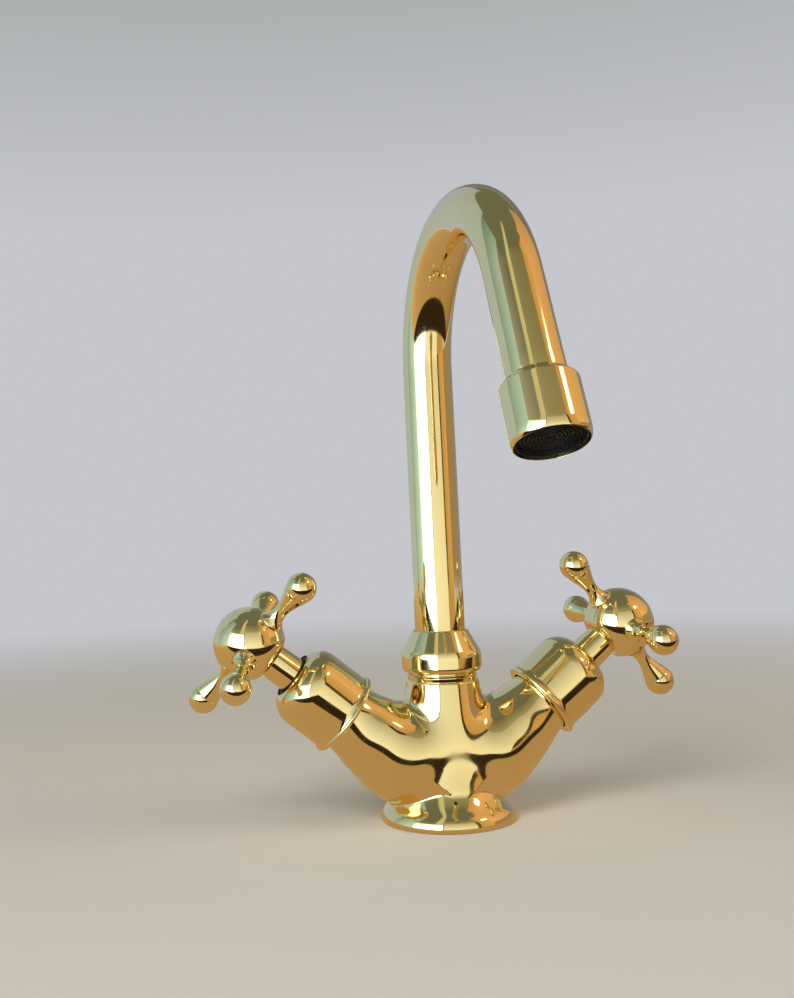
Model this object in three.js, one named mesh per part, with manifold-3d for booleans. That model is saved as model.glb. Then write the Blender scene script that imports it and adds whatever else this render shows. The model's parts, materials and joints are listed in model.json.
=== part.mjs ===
// A bathroom basin mixer on one deck hole, with two cross handles and a swivelling gooseneck spout.
// Millimetres, +Z up, front towards -Y, hot side towards -X.
// The origin is the centre of the base's underside, where the mixer stands on the basin.
// Pieces that touch on the real mixer keep a gap of CLEARANCE between them.

import * as THREE from "three";
import { mergeVertices } from "three/addons/utils/BufferGeometryUtils.js";
import Module from "manifold-3d";

const wasm = await Module();
wasm.setup();

// Driving dimensions.

const CLEARANCE = 0.3;

// Sides of a round surface: the largest ones, most pieces, and the small bores.
const WIDE_SIDES = 24;
const SIDES = 16;
const SMALL_SIDES = 10;

const BASE_RADIUS = 24.2;
const CREASE_RADIUS = 17.1;
const CREASE_HEIGHT = 12.3;
const NECK_RING_RADIUS = 12.35;
const COLUMN_TOP = 50.9;
const SPIGOT_RADIUS = 11.2;
const SPIGOT_TOP = 60;

// Both arms rise from one point on the spout's axis. Places along an arm are measured from there.
const ARM_ORIGIN = 8.8;
const ARM_ELEVATION = THREE.MathUtils.degToRad(38.8);
const ARM_RADIUS = 12;
const ARM_END = 48.8;
const CHAMBER_RADIUS = 9.3;
const CHAMBER_FLOOR = 29;

const COVER_RADIUS = 14.3;
const COVER_WALL = 1.4;
const COVER_LIP = 47.1;
const COVER_MOUTH = 12.45;
const COVER_TOP = 71.2;
const COVER_SHOULDER = 8.5;
const COVER_HOLE = 8.4;

const SPINDLE_RADIUS = 3.9;
const SPINDLE_BORE = 4.2;
const SPINDLE_TOP = 85.6;
const DISC_RADIUS = 6.5;
const DISC_THICKNESS = 2.5;

const HUB_RADIUS = 12.7;
const HUB_CENTRE = 90;
const HUB_BACK = 80.3;
const SPOKE_PLANE = 89.1;
const SPOKE_SEAT = 11.9;
const SPOKE_REACH = 29.3;
const BALL_RADIUS = 5.3;
const SPOKE_COUNT = 4;
const SCREW_SEAT = 91.7;
const CAP_SEAT = 97.5;
const CAP_RADIUS = 6;
const NECK_FOOT = 68.7;
const NECK_TOP = 83.3;
const NECK_FOOT_RADIUS = 6.5;
const NECK_TOP_RADIUS = 6;
const HOT_TURN = THREE.MathUtils.degToRad(59);
const COLD_TURN = THREE.MathUtils.degToRad(9.6);

const TUBE_RADIUS = 9;
const TUBE_BORE = 8;
const COLLAR_RADIUS = 10.4;
const TUBE_FOOT = 61.9;
const BEND_START = 160.8;
const BEND_RADIUS = 46.5;
const BEND_ANGLE = THREE.MathUtils.degToRad(157.7);
const TUBE_DROP = 36.7;

const AERATOR_RADIUS = 11.8;
const AERATOR_LENGTH = 20.5;
const AERATOR_SOCKET = 5;

const INLET_OFFSET = 9.5;
const INLET_RADIUS = 4.4;
const STUD_OFFSET = 12;
const STUD_RADIUS = 3.4;

// Finishes.

const FINISHES = {
  gold: { color: 0xd9ae5a, roughness: 0.08, metalness: 1 },
  brass: { color: 0xb89a55, roughness: 0.4, metalness: 1 },
  steel: { color: 0xb5b8ba, roughness: 0.3, metalness: 1 },
  ceramic: { color: 0xf1efe9, roughness: 0.3, metalness: 0 },
  nylon: { color: 0xe6e2d6, roughness: 0.5, metalness: 0 },
  rubber: { color: 0x161616, roughness: 0.8, metalness: 0 },
  black_plastic: { color: 0x101214, roughness: 0.45, metalness: 0 },
};

const materials = {};
for (const [name, values] of Object.entries(FINISHES)) {
  materials[name] = new THREE.MeshStandardMaterial(values);
}

// Solids.

// A closed geometry as a manifold solid with its faces turned outward.
function toSolid(geometry) {
  geometry.deleteAttribute("normal");
  geometry.deleteAttribute("uv");
  const merged = mergeVertices(geometry, 1e-4);
  const position = merged.attributes.position;
  const point = (index) => new THREE.Vector3().fromBufferAttribute(position, index);
  const triangles = [];
  let volume = 0;
  for (let i = 0; i < merged.index.count; i += 3) {
    const [a, b, c] = [0, 1, 2].map((k) => merged.index.getX(i + k));
    if (a === b || b === c || c === a) continue;
    triangles.push([a, b, c]);
    volume += point(a).dot(point(b).cross(point(c)));
  }
  if (volume < 0) triangles.forEach((triangle) => triangle.reverse());
  const mesh = new wasm.Mesh({
    numProp: 3,
    vertProperties: new Float32Array(position.array),
    triVerts: new Uint32Array(triangles.flat()),
  });
  return new wasm.Manifold(mesh);
}

function toGeometry(solid) {
  const mesh = solid.getMesh();
  const geometry = new THREE.BufferGeometry();
  geometry.setAttribute("position", new THREE.BufferAttribute(mesh.vertProperties, 3));
  geometry.setIndex(new THREE.BufferAttribute(mesh.triVerts, 1));
  geometry.computeVertexNormals();
  return geometry;
}

// A solid of revolution about Z. A profile of [radius, z] pairs starts and ends on the axis,
// or closes on itself.
function turned(profile, sides = SIDES) {
  const points = profile.map(([radius, z]) => new THREE.Vector2(radius, z));
  return toSolid(new THREE.LatheGeometry(points, sides).rotateX(Math.PI / 2));
}

function rod(radius, low, high, sides = SIDES) {
  return turned([[0, low], [radius, low], [radius, high], [0, high]], sides);
}

function ring(inner, outer, low, high, sides = SIDES) {
  const profile = [[inner, low], [outer, low], [outer, high], [inner, high], [inner, low]];
  return turned(profile, sides);
}

// A rubber ring of round section, lying flat.
function oRing(middle, section, z, sides = SIDES) {
  return turned(arc(middle, z, section, 0, 360, 5), sides);
}

// Points [radius, z] on an arc about a centre. Angles in degrees, 0 outward and 90 up.
function arc(radius, z, size, from, to, steps) {
  const points = [];
  for (let i = 0; i <= steps; i += 1) {
    const angle = THREE.MathUtils.degToRad(from + ((to - from) * i) / steps);
    points.push([radius + size * Math.cos(angle), z + size * Math.sin(angle)]);
  }
  return points;
}

function moved(solid, matrix) {
  return solid.transform(Array.from(matrix.elements));
}

// A solid standing along Z, laid along the direction at an angle from X in the XY plane.
function radial(solid, angle, z) {
  const lay = new THREE.Matrix4().makeRotationY(Math.PI / 2);
  const turn = new THREE.Matrix4().makeRotationZ(angle);
  return moved(solid, turn.multiply(lay).setPosition(0, 0, z));
}

// A slab of the outline in the XZ plane, with its middle at y = 0.
function slab(shape, thickness) {
  const options = { depth: thickness, bevelEnabled: false, curveSegments: 6 };
  const geometry = new THREE.ExtrudeGeometry(shape, options);
  return toSolid(geometry.translate(0, 0, -thickness / 2).rotateX(Math.PI / 2));
}

function place(group, name, finish, solid) {
  const mesh = new THREE.Mesh(toGeometry(solid), materials[finish]);
  mesh.name = name;
  group.add(mesh);
}

// An arm's own frame: +Z out along the arm, +X to the front. Side -1 is hot, +1 is cold.
function armMatrix(side) {
  const axis = new THREE.Vector3(side * Math.cos(ARM_ELEVATION), 0, Math.sin(ARM_ELEVATION));
  const front = new THREE.Vector3(0, -1, 0);
  const matrix = new THREE.Matrix4().makeBasis(front, axis.clone().cross(front), axis);
  return matrix.setPosition(0, 0, ARM_ORIGIN);
}

// The body: one casting with a base flange, a column and two arms.

function columnSolid() {
  return turned([
    [0, 0],
    [BASE_RADIUS - 0.5, 0],
    [BASE_RADIUS, 0.5],
    [BASE_RADIUS - 0.1, 1.6],
    [BASE_RADIUS - 0.5, 3],
    [BASE_RADIUS - 1.4, 4.4],
    [21, 6.2],
    [19.3, 8.5],
    [CREASE_RADIUS, CREASE_HEIGHT],
    [16.65, 18.5],
    [16.3, 24],
    [15.8, 29],
    [14.4, 38],
    [13.2, 46],
    [12.9, 48.4],
    [NECK_RING_RADIUS, 48.8],
    [NECK_RING_RADIUS, COLUMN_TOP],
    [SPIGOT_RADIUS, COLUMN_TOP],
    [SPIGOT_RADIUS, SPIGOT_TOP],
    [0, SPIGOT_TOP],
  ], WIDE_SIDES);
}

function armSolid() {
  return turned([
    [0, 3],
    [11.5, 4],
    [15.6, 14],
    [15.8, 24],
    [15.2, 31],
    [14.2, 37],
    [12.8, 42],
    [ARM_RADIUS, 46],
    [ARM_RADIUS, ARM_END],
    [0, ARM_END],
  ], WIDE_SIDES);
}

// The web that fills the corners between the column and the arms.
function saddleSolid() {
  const shape = new THREE.Shape();
  shape.moveTo(0, 20);
  shape.lineTo(22, 32);
  shape.lineTo(24.5, 43.4);
  shape.quadraticCurveTo(13.8, 41.8, 12.6, 49.6);
  shape.lineTo(-12.6, 49.6);
  shape.quadraticCurveTo(-13.8, 41.8, -24.5, 43.4);
  shape.lineTo(-22, 32);
  return slab(shape, 14);
}

// Each side's water comes in through the underside and up the arm to the valve chamber,
// and leaves it through the cross passage to the outlet in the column.
function waterways() {
  const upright = (radius, low, high, x, y) => rod(radius, low, high, SMALL_SIDES).translate([x, y, 0]);
  let cuts = rod(6.5, 33.5, 43.5).add(rod(8.6, 43, SPIGOT_TOP + 1));
  cuts = cuts.add(radial(rod(2.8, -20, 20, SMALL_SIDES), 0, 37.5));
  cuts = cuts.add(upright(STUD_RADIUS, -1, 14, 0, STUD_OFFSET));
  for (const side of [-1, 1]) {
    cuts = cuts.add(upright(INLET_RADIUS, -1, 17, side * INLET_OFFSET, 0));
    const bore = rod(CHAMBER_RADIUS, CHAMBER_FLOOR, ARM_END + 1).add(rod(4, 10, 30, SMALL_SIDES));
    cuts = cuts.add(moved(bore, armMatrix(side)));
  }
  return cuts.add(ring(20.3, 22.9, -1, 2.3, WIDE_SIDES));
}

function bodyCasting() {
  let body = columnSolid().add(saddleSolid());
  for (const side of [-1, 1]) {
    body = body.add(moved(armSolid(), armMatrix(side)));
  }
  return body.subtract(waterways());
}

function addBody(mixer) {
  place(mixer, "body_casting", "gold", bodyCasting());
  place(mixer, "base_seal_ring", "rubber", oRing(21.6, 1.1, 1.15, WIDE_SIDES));
}

// The union nut, which holds the spout down on the body.

function addUnionNut(mixer) {
  const shoulder = TUBE_FOOT + 1.6;
  const nut = turned([
    [11.5, 51.4],
    [12.8, 51.4],
    [14, 52.3],
    [14.35, 54],
    [14.4, 58.3],
    [14.1, 59.2],
    [10.2, 65.8],
    [9.6, 66.2],
    [9.4, 65.6],
    [9.4, shoulder],
    [COLLAR_RADIUS + CLEARANCE, shoulder],
    [COLLAR_RADIUS + CLEARANCE, SPIGOT_TOP + CLEARANCE],
    [11.5, SPIGOT_TOP + CLEARANCE],
    [11.5, 51.4],
  ], WIDE_SIDES);
  const slipRing = ring(TUBE_RADIUS + CLEARANCE, COLLAR_RADIUS, TUBE_FOOT, shoulder - CLEARANCE);
  place(mixer, "union_nut", "gold", nut);
  place(mixer, "spout_slip_ring", "nylon", slipRing);
}

// The spout, made upright and then bent along its centreline.

// The centreline at a length from the deck: how far out, how high, and the angle turned over.
function spoutAt(length) {
  const past = Math.max(length - BEND_START, 0);
  const angle = Math.min(past / BEND_RADIUS, BEND_ANGLE);
  const drop = Math.max(past - BEND_RADIUS * BEND_ANGLE, 0);
  return {
    out: BEND_RADIUS * (1 - Math.cos(angle)) + drop * Math.sin(angle),
    high: Math.min(length, BEND_START) + BEND_RADIUS * Math.sin(angle) + drop * Math.cos(angle),
    angle,
  };
}

function bentTube() {
  const bendLength = BEND_RADIUS * BEND_ANGLE;
  const stations = [TUBE_FOOT];
  const steps = 13;
  for (let i = 0; i <= steps; i += 1) {
    stations.push(BEND_START + (bendLength * i) / steps);
  }
  stations.push(BEND_START + bendLength + TUBE_DROP + AERATOR_SOCKET - CLEARANCE);
  const wall = stations.map((length) => [TUBE_RADIUS, length]);
  const bore = stations.map((length) => [TUBE_BORE, length]).reverse();
  const tube = turned([...wall, ...bore, wall[0]]);
  return tube.warp((point) => {
    const { out, high, angle } = spoutAt(point[2]);
    const across = point[1];
    point[1] = across * Math.cos(angle) - out;
    point[2] = across * Math.sin(angle) + high;
  });
}

// The turned end of the tube, with its sealing rings in grooves.
function spoutSleeve() {
  const grooves = ring(6.5, 9, 46, 48.4).add(ring(6.5, 9, 52, 54.4));
  const outside = turned([
    [0, 43.5 + CLEARANCE],
    [8.3, 43.5 + CLEARANCE],
    [8.3, SPIGOT_TOP + CLEARANCE],
    [COLLAR_RADIUS, SPIGOT_TOP + CLEARANCE],
    [COLLAR_RADIUS, TUBE_FOOT - CLEARANCE],
    [7.7, TUBE_FOOT - CLEARANCE],
    [7.7, 71],
    [0, 71],
  ]);
  return outside.subtract(grooves).subtract(rod(5.5, 40, 72));
}

function addSpout(mixer) {
  const spout = new THREE.Group();
  mixer.add(spout);
  place(spout, "spout_tube", "gold", bentTube());
  place(spout, "spout_sleeve", "brass", spoutSleeve());
  place(spout, "spout_o_ring_lower", "rubber", oRing(7.5, 0.85, 47.2));
  place(spout, "spout_o_ring_upper", "rubber", oRing(7.5, 0.85, 53.2));

  const aerator = new THREE.Group();
  const shoulder = spoutAt(BEND_START + BEND_RADIUS * BEND_ANGLE + TUBE_DROP);
  aerator.position.set(0, -shoulder.out, shoulder.high);
  aerator.rotation.x = shoulder.angle;
  spout.add(aerator);
  addAerator(aerator);
}

// The aerator, with +Z along the flow and its shoulder at z = 0.
function addAerator(aerator) {
  const housing = turned([
    [TUBE_RADIUS + CLEARANCE, 0],
    [9.6, 0],
    [AERATOR_RADIUS, 2.3],
    [AERATOR_RADIUS, AERATOR_LENGTH - 3.4],
    [AERATOR_RADIUS - 0.15, AERATOR_LENGTH - 1.5],
    [AERATOR_RADIUS - 0.45, AERATOR_LENGTH - 0.3],
    [11, AERATOR_LENGTH],
    [11, AERATOR_SOCKET + 1],
    [8.2, AERATOR_SOCKET + 1],
    [8.2, AERATOR_SOCKET],
    [TUBE_RADIUS + CLEARANCE, AERATOR_SOCKET],
    [TUBE_RADIUS + CLEARANCE, 0],
  ]);
  place(aerator, "aerator_housing", "gold", housing);
  place(aerator, "aerator_gasket", "rubber", ring(8, 10.6, 6.3, 7.8));
  place(aerator, "aerator_strainer", "steel", strainer());
  place(aerator, "aerator_nozzle", "black_plastic", nozzle());
}

// A shallow cup with a ring of holes, which mixes air into the water.
function strainer() {
  const cup = turned([[0, 11.5], [9, 11.5], [9, 8.1], [10.6, 8.1], [10.6, 13], [0, 13]]);
  const hole = rod(1, 11, 14, 6);
  let holes = hole;
  const holeCount = 6;
  for (let i = 0; i < holeCount; i += 1) {
    const angle = (2 * Math.PI * i) / holeCount;
    holes = holes.add(hole.translate([5 * Math.cos(angle), 5 * Math.sin(angle), 0]));
  }
  return cup.subtract(holes);
}

// The black outlet face, with concentric ribs.
function nozzle() {
  const floor = 17.6;
  const face = 19.4;
  const profile = [[0, 13.3], [10.7, 13.3], [10.7, 19.9], [9.8, 19.9], [9.8, floor]];
  for (const radius of [7.6, 5.3, 3]) {
    profile.push([radius + 0.8, floor], [radius + 0.8, face], [radius, face], [radius, floor]);
  }
  profile.push([1.2, floor], [1.2, face], [0, face]);
  return turned(profile);
}

// One side's bonnet cover and headwork, along the arm.

function bonnetCover() {
  const shoulderBase = COVER_TOP - COVER_SHOULDER;
  const centre = COVER_RADIUS - COVER_SHOULDER;
  const inside = COVER_SHOULDER - COVER_WALL;
  const outerEnd = THREE.MathUtils.radToDeg(Math.acos((COVER_HOLE - centre) / COVER_SHOULDER));
  const innerEnd = THREE.MathUtils.radToDeg(Math.acos((COVER_HOLE - centre) / inside));
  const lip = [
    [COVER_MOUTH, COVER_LIP],
    [14.9, COVER_LIP],
    [15.25, COVER_LIP + 0.9],
    [14.9, COVER_LIP + 1.8],
    [14.5, COVER_LIP + 2.5],
    [COVER_RADIUS, COVER_LIP + 4],
  ];
  return turned([
    ...lip,
    ...arc(centre, shoulderBase, COVER_SHOULDER, 0, outerEnd, 4),
    ...arc(centre, shoulderBase, inside, innerEnd, 0, 3),
    [COVER_RADIUS - COVER_WALL, COVER_LIP + 2.4],
    [COVER_MOUTH, COVER_LIP + 1.6],
    lip[0],
  ], WIDE_SIDES);
}

// The headwork's housing: a thread in the arm, a hexagon for the spanner and a neck.
function headworkHousing() {
  const seat = ARM_END + CLEARANCE;
  const hexagon = rod(11.6, seat, seat + 5, 6);
  const stem = turned([
    [0, 31.3],
    [8, 31.3],
    [8, 41.5],
    [9, 42],
    [9, seat],
    [7.3, seat + 5],
    [7.3, 66.7],
    [0, 66.7],
  ]);
  const bore = rod(6.8, 31, 40.6).add(rod(SPINDLE_BORE, 40, 67));
  const windows = radial(rod(1.6, -9, 9, SMALL_SIDES), 0, 39);
  return hexagon.add(stem).subtract(bore).subtract(windows);
}

// A ceramic disc with one half-moon port on the side of the given sign along X.
function ceramicDisc(low, sign) {
  const disc = rod(DISC_RADIUS, low, low + DISC_THICKNESS);
  const port = new THREE.Shape();
  port.absarc(0, 0, 5, THREE.MathUtils.degToRad(-78), THREE.MathUtils.degToRad(78), false);
  const options = { depth: DISC_THICKNESS + 2, bevelEnabled: false, curveSegments: 8 };
  const tool = toSolid(new THREE.ExtrudeGeometry(port, options).translate(0, 0, low - 1));
  return disc.subtract(sign > 0 ? tool : tool.rotate([0, 0, 180]));
}

// The drive between the spindle's foot and the moving disc.
function tongue(width, low, high) {
  return toSolid(new THREE.BoxGeometry(width, 11, high - low).translate(0, 0, (low + high) / 2));
}

function spindle() {
  const foot = 37.6;
  const shaft = turned([
    [0, foot],
    [6.3, foot],
    [6.3, 40],
    [SPINDLE_RADIUS, 40.3],
    [SPINDLE_RADIUS, 55],
    [2.7, 55],
    [2.7, 57],
    [SPINDLE_RADIUS, 57],
    [SPINDLE_RADIUS, SPINDLE_TOP],
    [0, SPINDLE_TOP],
  ]);
  const tapping = rod(2.2, 77.5, SPINDLE_TOP + 1, SMALL_SIDES);
  return shaft.add(tongue(1.4, foot - 1.2, foot + 0.5)).subtract(tapping);
}

function addHeadwork(arm, side) {
  const movingLow = 31.6 + DISC_THICKNESS + CLEARANCE;
  const movingDisc = ceramicDisc(movingLow, -1).subtract(tongue(2, 36.1, 38));
  const guideRing = ring(NECK_FOOT_RADIUS + CLEARANCE, COVER_HOLE - CLEARANCE, 68, 70.5);
  place(arm, `${side}_bonnet_cover`, "gold", bonnetCover());
  place(arm, `${side}_headwork_housing`, "brass", headworkHousing());
  place(arm, `${side}_seat_seal`, "rubber", ring(4.6, 8.4, CHAMBER_FLOOR + CLEARANCE, 31));
  place(arm, `${side}_fixed_disc`, "ceramic", ceramicDisc(31.6, 1));
  place(arm, `${side}_moving_disc`, "ceramic", movingDisc);
  place(arm, `${side}_spindle`, "brass", spindle());
  place(arm, `${side}_spindle_o_ring`, "rubber", oRing(3.42, 0.65, 56));
  place(arm, `${side}_guide_ring`, "black_plastic", guideRing);
}

// One side's cross handle. The hub is bored from both ends, with a flat and a socket for each spoke.

function hub() {
  const back = THREE.MathUtils.radToDeg(Math.asin((HUB_BACK - HUB_CENTRE) / HUB_RADIUS));
  const ball = turned([
    [0, HUB_BACK],
    ...arc(0, HUB_CENTRE, HUB_RADIUS, back, 90, 8),
  ], SIDES);
  const neckSocket = rod(NECK_TOP_RADIUS + CLEARANCE, HUB_BACK - 1, NECK_TOP + CLEARANCE);
  let hollow = neckSocket.add(rod(SPINDLE_BORE, NECK_TOP, SPINDLE_TOP + CLEARANCE));
  hollow = hollow.add(rod(2.2, SPINDLE_TOP, SCREW_SEAT + 1, SMALL_SIDES));
  hollow = hollow.add(rod(4.3, SCREW_SEAT, CAP_SEAT + 1));
  hollow = hollow.add(rod(CAP_RADIUS + CLEARANCE, CAP_SEAT, CAP_SEAT + 6));
  const socket = rod(2.1, 8.2, 14, SMALL_SIDES).add(rod(4.8, SPOKE_SEAT, 14));
  for (let i = 0; i < SPOKE_COUNT; i += 1) {
    hollow = hollow.add(radial(socket, (i * 2 * Math.PI) / SPOKE_COUNT, SPOKE_PLANE));
  }
  return ball.subtract(hollow);
}

// A spoke along Z: a shank in the hub's socket, a flared foot on the hub's flat, and a ball.
function spoke() {
  const foot = SPOKE_SEAT + CLEARANCE;
  return turned([
    [0, 8.6],
    [1.8, 8.6],
    [1.8, foot],
    [4.3, foot],
    [3.5, foot + 1.4],
    [2.7, 15],
    [2.35, 17.3],
    [2.6, 19.8],
    [3.4, 22.6],
    [4.4, 25.4],
    ...arc(0, SPOKE_REACH, BALL_RADIUS, -24, 90, 5),
  ], SMALL_SIDES);
}

function neckSleeve() {
  return turned([
    [SPINDLE_BORE, NECK_FOOT],
    [NECK_FOOT_RADIUS, NECK_FOOT],
    [NECK_TOP_RADIUS, HUB_BACK],
    [NECK_TOP_RADIUS, NECK_TOP],
    [SPINDLE_BORE, NECK_TOP],
    [SPINDLE_BORE, NECK_FOOT],
  ]);
}

function handleScrew() {
  const underHead = SCREW_SEAT + CLEARANCE;
  const top = underHead + 3;
  const profile = [[0, 78.4], [1.9, 78.4], [1.9, underHead], [4, underHead], [4, top], [0, top]];
  const screw = turned(profile, SMALL_SIDES);
  const slot = new THREE.BoxGeometry(1.2, 10, 1.4).translate(0, 0, top);
  return screw.subtract(toSolid(slot));
}

// A plain domed plug that carries on the hub's round surface over the screw.
function hubCap() {
  const edge = THREE.MathUtils.radToDeg(Math.acos(CAP_RADIUS / HUB_RADIUS));
  const low = CAP_SEAT + CLEARANCE;
  const dome = arc(0, HUB_CENTRE, HUB_RADIUS, edge, 90, 3);
  return turned([[0, low], [CAP_RADIUS, low], ...dome]);
}

function addHandle(arm, side, turn) {
  const handle = new THREE.Group();
  handle.rotation.z = turn;
  arm.add(handle);
  place(handle, `${side}_handle_hub`, "gold", hub());
  place(handle, `${side}_handle_neck`, "gold", neckSleeve());
  place(handle, `${side}_handle_screw`, "steel", handleScrew());
  place(handle, `${side}_hub_cap`, "gold", hubCap());
  for (let i = 0; i < SPOKE_COUNT; i += 1) {
    const angle = (i * 2 * Math.PI) / SPOKE_COUNT;
    place(handle, `${side}_spoke_${i + 1}`, "gold", radial(spoke(), angle, SPOKE_PLANE));
  }
}

function addArm(mixer, side, sign, turn) {
  const arm = new THREE.Group();
  armMatrix(sign).decompose(arm.position, arm.quaternion, arm.scale);
  mixer.add(arm);
  addHeadwork(arm, side);
  addHandle(arm, side, turn);
}

const mixer = new THREE.Group();
addBody(mixer);
addUnionNut(mixer);
addSpout(mixer);
addArm(mixer, "hot", -1, HOT_TURN);
addArm(mixer, "cold", 1, COLD_TURN);

export default mixer;
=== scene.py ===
"""The looks of a bathroom basin mixer in polished gold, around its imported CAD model.

The CAD frame is in metres: +Z up, front towards -Y, hot side towards -X. The mixer's sizes and
profiles are in millimetres, as [radius, height] pairs, and scaled by MM. The studio is in metres.
"""

import json
import math

import bpy
import numpy as np
from mathutils import Matrix, Vector


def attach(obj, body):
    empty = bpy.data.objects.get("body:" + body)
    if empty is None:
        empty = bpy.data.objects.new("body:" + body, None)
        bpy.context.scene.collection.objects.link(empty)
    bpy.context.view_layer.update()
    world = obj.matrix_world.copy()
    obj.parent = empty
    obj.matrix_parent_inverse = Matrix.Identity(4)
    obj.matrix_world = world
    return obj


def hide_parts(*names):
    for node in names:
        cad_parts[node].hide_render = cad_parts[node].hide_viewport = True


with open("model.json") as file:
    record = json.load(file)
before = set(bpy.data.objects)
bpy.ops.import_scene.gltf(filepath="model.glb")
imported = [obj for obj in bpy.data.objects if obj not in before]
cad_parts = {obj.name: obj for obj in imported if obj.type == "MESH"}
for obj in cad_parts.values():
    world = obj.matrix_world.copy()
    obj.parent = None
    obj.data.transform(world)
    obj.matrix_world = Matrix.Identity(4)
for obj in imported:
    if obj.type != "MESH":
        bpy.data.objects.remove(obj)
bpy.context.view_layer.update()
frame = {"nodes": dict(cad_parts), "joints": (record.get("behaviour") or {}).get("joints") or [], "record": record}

MM = 0.001

# Driving dimensions of the mixer, in millimetres.

CLEARANCE = 0.3
BASE_RADIUS = 24.2
CREASE_HEIGHT = 12.3
SHOULDER = 48.6
COLUMN_TOP = 50.9
SPIGOT_TOP = 60
ARM_END = 48.8
COVER_LIP = 47.1
COVER_MOUTH = 12.45
COVER_TOP = 71.2
COVER_RADIUS = 14.3
COVER_SHOULDER = 8.5
COVER_HOLE = 8.4
COVER_WALL = 1.4
HUB_RADIUS = 12.7
HUB_CENTRE = 90
HUB_BACK = 80.3
NECK_FOOT = 68.7
NECK_TOP = 83.3
NECK_FOOT_RADIUS = 6.5
NECK_TOP_RADIUS = 6
SPOKE_PLANE = 89.1
SPOKE_SEAT = 11.9
SPOKE_REACH = 29.3
BALL_RADIUS = 5.3
SPOKE_COUNT = 4
CAP_SEAT = 97.5
CAP_RADIUS = 6
SPINDLE_BORE = 4.2
SPINDLE_TOP = 85.6
SCREW_HOLE = 2.2
SCREW_SEAT = 91.7
SCREW_RECESS = 4.3
TUBE_RADIUS = 9
TUBE_BORE = 8
COLLAR_RADIUS = 10.4
TUBE_FOOT = 61.9
BEND_START = 160.8
BEND_RADIUS = 46.5
BEND_ANGLE = math.radians(157.7)
TUBE_DROP = 36.7
AERATOR_RADIUS = 11.8
AERATOR_LENGTH = 20.5
AERATOR_SOCKET = 5

# Each side's sign along X, and how far its handle is turned about the arm.
SIDES = {"hot": (-1, math.radians(59)), "cold": (1, math.radians(9.6))}

# Both arms rise from one point on the column's axis, along the axes that the handles turn about.
COLD_TURN = next(joint for joint in frame["joints"] if joint["name"] == "cold_turn")
ARM_AXIS = (COLD_TURN["axis"][0], COLD_TURN["axis"][2])
ARM_ORIGIN = (COLD_TURN["pos_m"][2] - COLD_TURN["pos_m"][0] * ARM_AXIS[1] / ARM_AXIS[0]) / MM

# The camera: where it stands, which way its picture's right and top lie, and its lens.
CAMERA_PLACE = Vector((-0.13066, -0.41565, 0.10495))
CAMERA_RIGHT = Vector((0.98013, -0.19476, -0.03747))
CAMERA_UP = Vector((0.01593, -0.11099, 0.99369))
CAMERA_LENS = 42.3
CAMERA_SHIFT = (0.0906, -0.0967)


# The camera.


def make_camera():
    data = bpy.data.cameras.new("camera")
    data.lens = CAMERA_LENS
    data.sensor_width = 36
    data.shift_x, data.shift_y = CAMERA_SHIFT
    data.clip_start = 0.01
    camera = bpy.data.objects.new("camera", data)
    back = CAMERA_RIGHT.cross(CAMERA_UP)
    turn = Matrix((CAMERA_RIGHT, CAMERA_UP, back)).transposed()
    camera.matrix_world = Matrix.Translation(CAMERA_PLACE) @ turn.to_4x4()
    bpy.context.scene.collection.objects.link(camera)
    bpy.context.scene.camera = camera


# Profiles, as lists of [radius, height] in millimetres.


def arc(radius, height, size, start, end, steps):
    """Points on an arc about a centre. Angles in degrees, 0 outward and 90 up."""
    angles = np.radians(np.linspace(start, end, steps + 1))
    return [[radius + size * math.cos(a), height + size * math.sin(a)] for a in angles]


def eased(profile, size, steps=5):
    """A profile with each corner rounded off by a curve that starts at most size from it. Its last
    point joins its first. Points on the axis stay, and so do corners under 25 degrees, which belong
    to curves."""
    points = [np.array(p, float) for p in profile]
    made = []
    for i, corner in enumerate(points):
        before, after = points[i - 1] - corner, points[(i + 1) % len(points)] - corner
        room = min(np.linalg.norm(before), np.linalg.norm(after)) * 0.45
        before, after = before / np.linalg.norm(before), after / np.linalg.norm(after)
        turn = math.pi - math.acos(max(-1, min(1, float(before @ after))))
        if corner[0] < 1e-6 or turn < math.radians(25):
            made.append(corner)
            continue
        cut = min(size, room)
        start, end = corner + before * cut, corner + after * cut
        for t in np.linspace(0, 1, steps + 1):
            made.append((1 - t) ** 2 * start + 2 * t * (1 - t) * corner + t * t * end)
    return [list(p) for p in made]


def smooth_curve(points, steps):
    """A natural cubic spline through points, by distance along them."""
    points = np.array(points, float)
    gaps = np.linalg.norm(np.diff(points, axis=0), axis=1)
    places = np.concatenate([[0], np.cumsum(gaps)])
    count = len(points)
    system, right = np.eye(count), np.zeros((count, 2))
    for i in range(1, count - 1):
        system[i, i - 1:i + 2] = gaps[i - 1], 2 * (gaps[i - 1] + gaps[i]), gaps[i]
        slopes = np.diff(points[i - 1:i + 2], axis=0) / gaps[i - 1:i + 1, None]
        right[i] = 6 * (slopes[1] - slopes[0])
    bends = np.linalg.solve(system, right)
    made = []
    for place in np.linspace(0, places[-1], steps + 1):
        i = min(int(np.searchsorted(places, place, side="right")) - 1, count - 2)
        gap, t = gaps[i], place - places[i]
        u = gap - t
        inner = bends[i] * (u ** 3 / gap - gap * u) + bends[i + 1] * (t ** 3 / gap - gap * t)
        made.append(list((points[i] * u + points[i + 1] * t) / gap + inner / 6))
    return made


# Meshes.


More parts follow.
